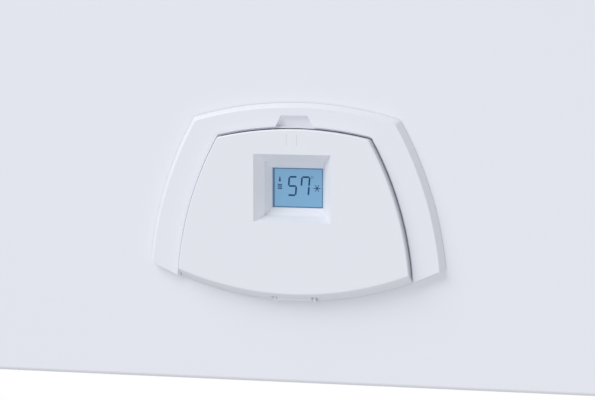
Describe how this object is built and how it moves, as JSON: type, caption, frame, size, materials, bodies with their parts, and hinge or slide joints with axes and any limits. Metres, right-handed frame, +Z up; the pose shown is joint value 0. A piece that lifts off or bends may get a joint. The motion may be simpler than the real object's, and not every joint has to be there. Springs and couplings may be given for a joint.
{
  "type": "wall-mounted gas boiler",
  "caption": "White wall-hung gas boiler with a curved control pod, a flap door with a display window, and the burner, exchanger, fan and water parts inside.",
  "frame": {"origin": "middle of the wall bracket's back face, on the wall plane", "axes": "+X to the right seen from the front, +Y into the wall, +Z up; the front cover faces -Y"},
  "size_m": [0.4, 0.2587, 0.732],
  "materials": {
    "galvanised_steel": "satin",
    "white_paint": "satin",
    "white_plastic": "satin",
    "stainless_steel": "brushed",
    "display_glass": "backlit blue",
    "grey_plastic": "matte",
    "black_plastic": "matte",
    "gauge_glass": "clear",
    "red_plastic": "satin",
    "board_laminate": "gloss",
    "brass": "machined",
    "cast_aluminium": "satin",
    "ceramic_fibre": "matte",
    "copper": "drawn copper",
    "red_paint": "gloss"
  },
  "bodies": {
    "casing": {"wall_bracket": "galvanised_steel", "back_frame": "galvanised_steel", "left_side_panel": "white_paint", "right_side_panel": "white_paint", "top_panel": "white_paint", "lower_crossbar": "galvanised_steel", "bottom_rail": "galvanised_steel", "front_cover": "white_paint", "panel_bezel": "white_plastic", "door_hinge_pin": "stainless_steel", "panel_fascia": "white_plastic", "display_screen": "display_glass", "pressure_gauge": "black_plastic", "gauge_glass": "gauge_glass", "control_box": "grey_plastic", "circuit_board": "board_laminate", "heating_flow_tail": "brass", "hot_water_tail": "brass", "gas_tail": "brass", "cold_water_tail": "brass", "heating_return_tail": "brass", "flow_group": "brass", "return_group": "brass", "plate_exchanger": "stainless_steel", "diverter_motor": "black_plastic", "pump_body": "brass", "pump_motor": "black_plastic", "air_vent": "brass", "gas_valve": "cast_aluminium", "gas_inlet_pipe": "stainless_steel", "burner_gas_pipe": "stainless_steel", "gas_manifold": "cast_aluminium", "burner": "stainless_steel", "electrode_set": "stainless_steel", "sealed_chamber": "galvanised_steel", "chamber_lid": "galvanised_steel", "combustion_chamber": "stainless_steel", "insulation_lining": "ceramic_fibre", "heat_exchanger": "copper", "flue_hood": "cast_aluminium", "fan_housing": "cast_aluminium", "fan_motor": "stainless_steel", "flue_collar": "white_paint", "air_pressure_switch": "black_plastic", "flow_pipe": "copper", "return_pipe": "copper", "vessel_pipe": "copper", "expansion_vessel": "red_paint"},
    "door": {"flap_door": "white_plastic"},
    "heating_dial": {"heating_knob": "white_plastic"},
    "hot_water_dial": {"hot_water_knob": "white_plastic"},
    "summer_key": {"summer_button": "grey_plastic"},
    "winter_key": {"winter_button": "grey_plastic"},
    "info_key": {"info_button": "grey_plastic"},
    "reset_key": {"reset_button": "grey_plastic"},
    "power_key": {"power_button": "grey_plastic"},
    "pressure_needle": {"gauge_needle": "red_plastic"},
    "fan_wheel": {"fan_impeller": "cast_aluminium"},
    "relief_knob": {"safety_valve_knob": "red_plastic"},
    "filling_tap": {"filling_knob": "black_plastic"}
  },
  "joints": [
    {"name": "door_hinge", "type": "hinge", "parent": "casing", "child": "door", "pos_m": [0, -0.2525, -0.5885], "axis": [1, 0, 0], "range_deg": [0, 95]},
    {"name": "heating_dial_turn", "type": "hinge", "parent": "casing", "child": "heating_dial", "pos_m": [-0.043, -0.24, -0.528], "axis": [0, -1, 0], "range_deg": [-135, 135]},
    {"name": "hot_water_dial_turn", "type": "hinge", "parent": "casing", "child": "hot_water_dial", "pos_m": [0.043, -0.24, -0.528], "axis": [0, -1, 0], "range_deg": [-135, 135]},
    {"name": "summer_press", "type": "slide", "parent": "casing", "child": "summer_key", "axis": [0, 1, 0], "range_m": [0, 0.001], "stiffness_N_per_m": 400, "springref_m": -0.001},
    {"name": "winter_press", "type": "slide", "parent": "casing", "child": "winter_key", "axis": [0, 1, 0], "range_m": [0, 0.001], "stiffness_N_per_m": 400, "springref_m": -0.001},
    {"name": "info_press", "type": "slide", "parent": "casing", "child": "info_key", "axis": [0, 1, 0], "range_m": [0, 0.001], "stiffness_N_per_m": 400, "springref_m": -0.001},
    {"name": "reset_press", "type": "slide", "parent": "casing", "child": "reset_key", "axis": [0, 1, 0], "range_m": [0, 0.001], "stiffness_N_per_m": 400, "springref_m": -0.001},
    {"name": "power_press", "type": "slide", "parent": "casing", "child": "power_key", "axis": [0, 1, 0], "range_m": [0, 0.001], "stiffness_N_per_m": 400, "springref_m": -0.001},
    {"name": "needle_swing", "type": "hinge", "parent": "casing", "child": "pressure_needle", "pos_m": [0, -0.239, -0.565], "axis": [0, -1, 0], "range_deg": [-120, 120], "stiffness_Nm_per_rad": 0.0005},
    {"name": "fan_spin", "type": "hinge", "parent": "casing", "child": "fan_wheel", "pos_m": [0.062, -0.115, -0.04], "axis": [0, 0, 1], "continuous": true},
    {"name": "relief_knob_turn", "type": "hinge", "parent": "casing", "child": "relief_knob", "pos_m": [0.112, -0.111, -0.555], "axis": [0, -1, 0], "range_deg": [0, 90]},
    {"name": "filling_tap_turn", "type": "hinge", "parent": "casing", "child": "filling_tap", "pos_m": [0.0975, -0.065, -0.62], "axis": [0, 0, -1], "range_deg": [0, 360]}
  ]
}
